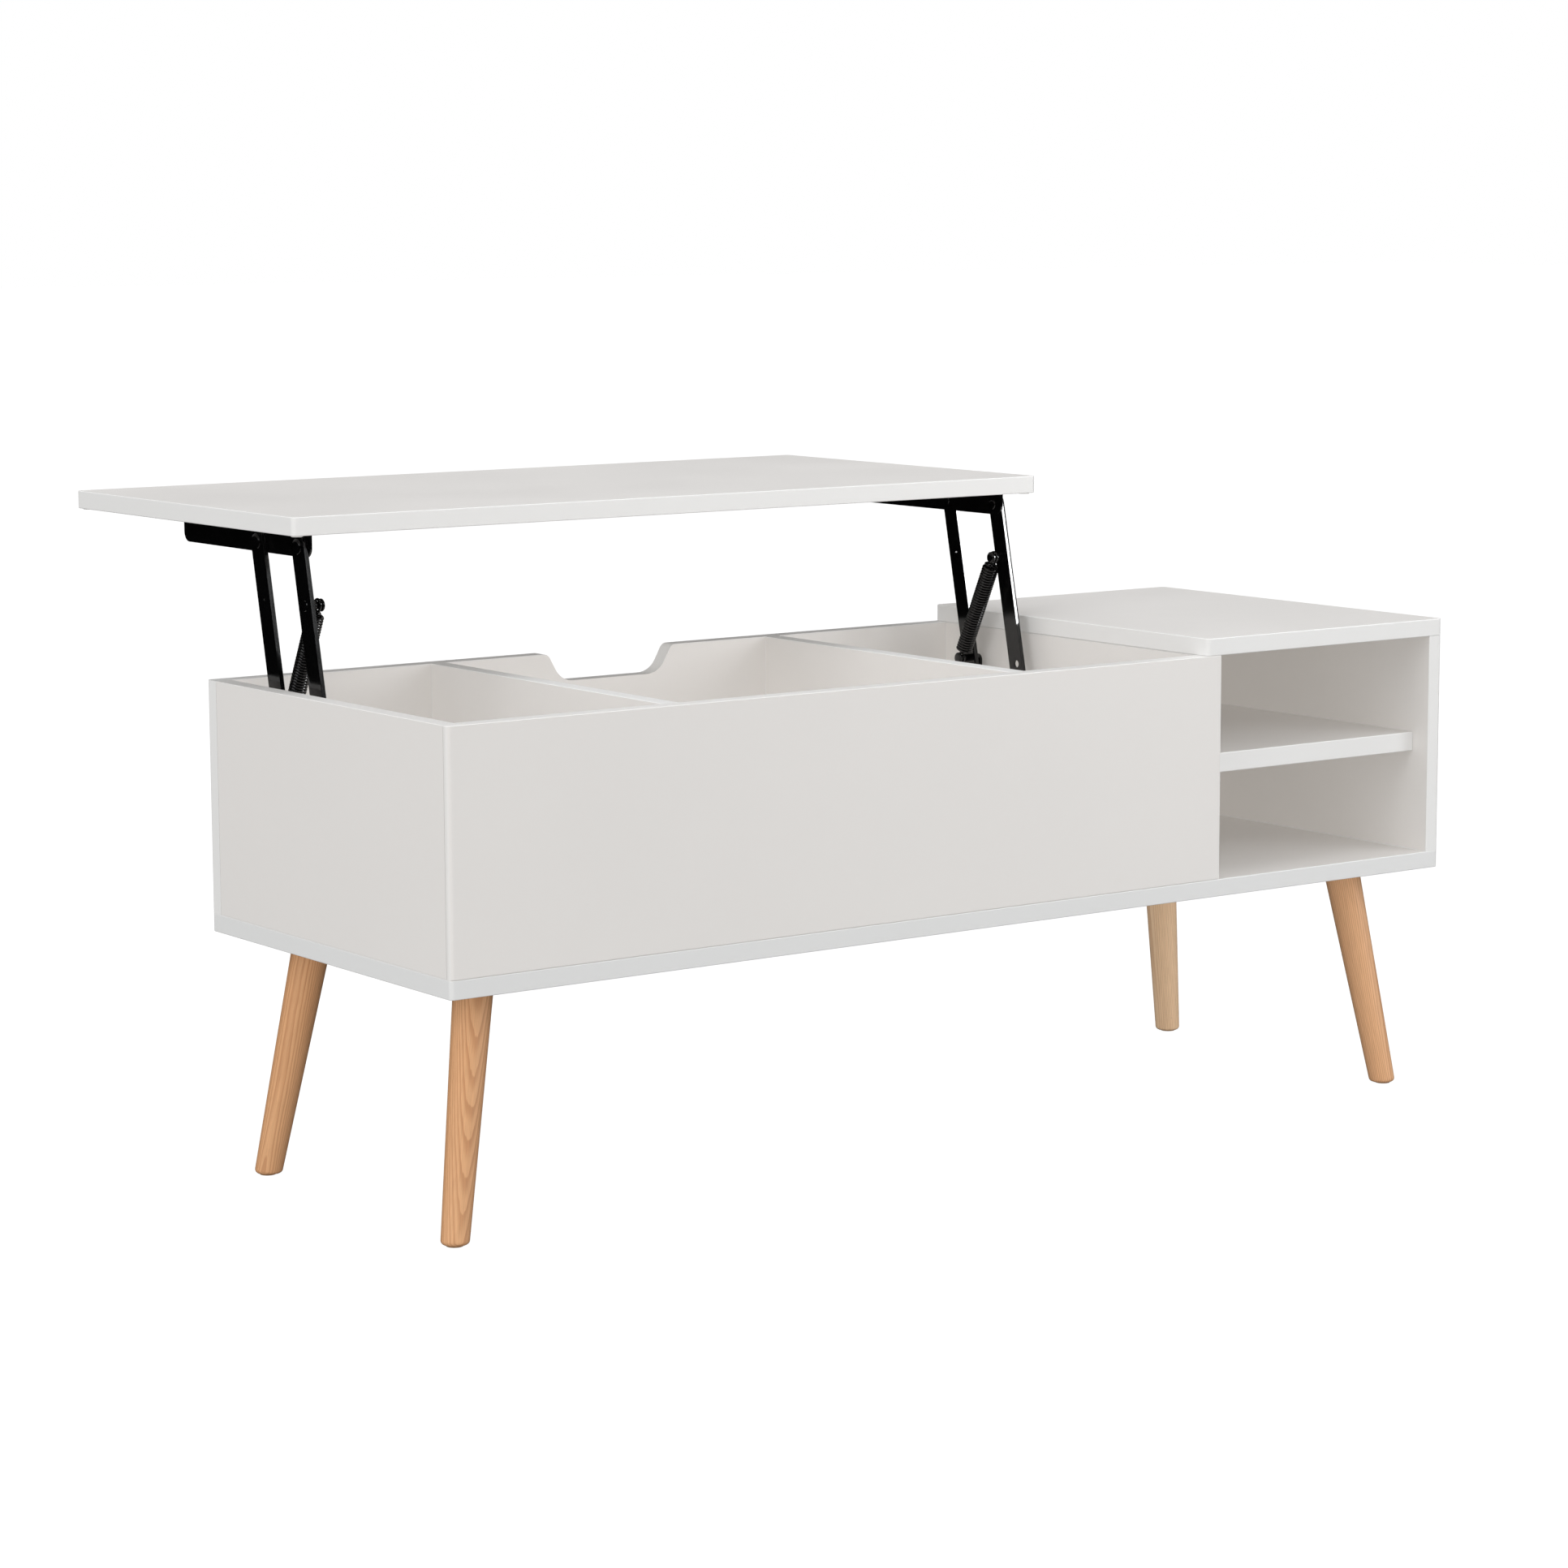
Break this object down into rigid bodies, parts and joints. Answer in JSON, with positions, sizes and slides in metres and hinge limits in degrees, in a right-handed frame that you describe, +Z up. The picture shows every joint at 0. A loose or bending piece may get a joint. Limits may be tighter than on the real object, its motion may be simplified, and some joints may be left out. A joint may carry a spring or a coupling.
{
  "type": "lift top coffee table",
  "caption": "Lift top coffee table: a white board carcass with an open cubby and divided storage on splayed tapered wooden legs, under a lid that rises level on spring-assisted arms.",
  "frame": {"origin": "centre of the raised table's footprint, on the floor under the glides", "axes": "+X along the table's length, from the lid end to the cubby end; +Y the way the lid moves as it rises, towards the notched panel; +Z up"},
  "size_m": [1.1, 0.6418, 0.5869],
  "materials": {
    "white_board": "white laminated board, satin",
    "leg_wood": "clear-coated light solid wood, long straight grain",
    "black_steel": "gloss black coated pressed steel",
    "spring_steel": "gloss black coated coil spring wire",
    "bright_steel": "zinc-plated screws, bolts and pins",
    "black_plastic": "moulded black buffers and washers",
    "clear_bumper": "soft pale bumpers",
    "glide_plastic": "light brown plastic glides",
    "dowel_wood": "plain beech dowels"
  },
  "bodies": {
    "carcass": {"base_board": "white_board", "plain_side_panel": "white_board", "notched_side_panel": "white_board", "left_end_panel": "white_board", "left_divider": "white_board", "right_divider": "white_board", "partition_panel": "white_board", "right_end_panel": "white_board", "fixed_top": "white_board", "cubby_shelf": "white_board", "shelf_pins": "bright_steel", "confirmat_screws": "bright_steel", "dowels": "dowel_wood", "leg_near_left": "leg_wood", "leg_far_left": "leg_wood", "leg_near_right": "leg_wood", "leg_far_right": "leg_wood", "leg_plates": "black_steel", "hanger_bolts": "bright_steel", "leg_plate_screws": "bright_steel", "foot_glides": "glide_plastic", "base_bracket_left": "black_steel", "base_bracket_right": "black_steel", "stop_buffer_left": "black_plastic", "stop_buffer_right": "black_plastic", "base_bracket_screws": "black_steel", "pivot_bushes": "black_steel", "lower_pivot_rivets": "black_steel"},
    "lid": {"lid_panel": "white_board", "lid_bumpers": "clear_bumper", "lid_bracket_left": "black_steel", "lid_bracket_right": "black_steel", "lid_bracket_screws": "black_steel", "upper_pivot_rivets": "black_steel", "pivot_washers": "black_plastic"},
    "near_arm_left": {"near_arm_left": "black_steel", "near_spring_stud_left": "black_steel"},
    "far_arm_left": {"far_arm_left": "black_steel", "far_spring_stud_left": "black_steel"},
    "spring_left": {"lift_spring_left": "spring_steel"},
    "spring_end_left": {"spring_hook_left": "spring_steel"},
    "near_arm_right": {"near_arm_right": "black_steel", "near_spring_stud_right": "black_steel"},
    "far_arm_right": {"far_arm_right": "black_steel", "far_spring_stud_right": "black_steel"},
    "spring_right": {"lift_spring_right": "spring_steel"},
    "spring_end_right": {"spring_hook_right": "spring_steel"}
  },
  "joints": [
    {"name": "lift", "type": "hinge", "parent": "carcass", "child": "near_arm_left", "pos_m": [-0.5205, -0.07693, 0.3515], "axis": [1, 0, 0], "range_deg": [0, 81.79]},
    {"name": "lid_level", "type": "hinge", "parent": "near_arm_left", "child": "lid", "pos_m": [-0.5205, -0.03306, 0.55789], "axis": [1, 0, 0], "range_deg": [-81.79, 0]},
    {"name": "far_arm_left_swing", "type": "hinge", "parent": "carcass", "child": "far_arm_left", "pos_m": [-0.5205, -0.00593, 0.3515], "axis": [1, 0, 0], "range_deg": [0, 81.79]},
    {"name": "near_arm_right_swing", "type": "hinge", "parent": "carcass", "child": "near_arm_right", "pos_m": [0.2415, -0.07693, 0.3515], "axis": [1, 0, 0], "range_deg": [0, 81.79]},
    {"name": "far_arm_right_swing", "type": "hinge", "parent": "carcass", "child": "far_arm_right", "pos_m": [0.2415, -0.00593, 0.3515], "axis": [1, 0, 0], "range_deg": [0, 81.79]},
    {"name": "spring_turn_left", "type": "hinge", "parent": "far_arm_left", "child": "spring_left", "pos_m": [-0.508, 0.00592, 0.40725], "axis": [1, 0, 0], "range_deg": [-29.98, 0]},
    {"name": "spring_stretch_left", "type": "slide", "parent": "spring_left", "child": "spring_end_left", "axis": [0, -0.4416, 0.8972], "range_m": [0, 0.0591], "deforming": ["lift_spring_left", "spring_hook_left"]},
    {"name": "spring_turn_right", "type": "hinge", "parent": "far_arm_right", "child": "spring_right", "pos_m": [0.229, 0.00592, 0.40725], "axis": [1, 0, 0], "range_deg": [-29.98, 0]},
    {"name": "spring_stretch_right", "type": "slide", "parent": "spring_right", "child": "spring_end_right", "axis": [0, -0.4416, 0.8972], "range_m": [0, 0.0591], "deforming": ["lift_spring_right", "spring_hook_right"]}
  ],
  "couplings": [
    {"joint": "lid_level", "follows": "lift", "ratio": -1},
    {"joint": "far_arm_left_swing", "follows": "lift", "ratio": 1},
    {"joint": "near_arm_right_swing", "follows": "lift", "ratio": 1},
    {"joint": "far_arm_right_swing", "follows": "lift", "ratio": 1},
    {"joint": "spring_turn_left", "follows": "lift", "ratio": -0.36651},
    {"joint": "spring_stretch_left", "follows": "lift", "m_per_rad": 0.041404},
    {"joint": "spring_turn_right", "follows": "lift", "ratio": -0.36651},
    {"joint": "spring_stretch_right", "follows": "lift", "m_per_rad": 0.041404}
  ]
}
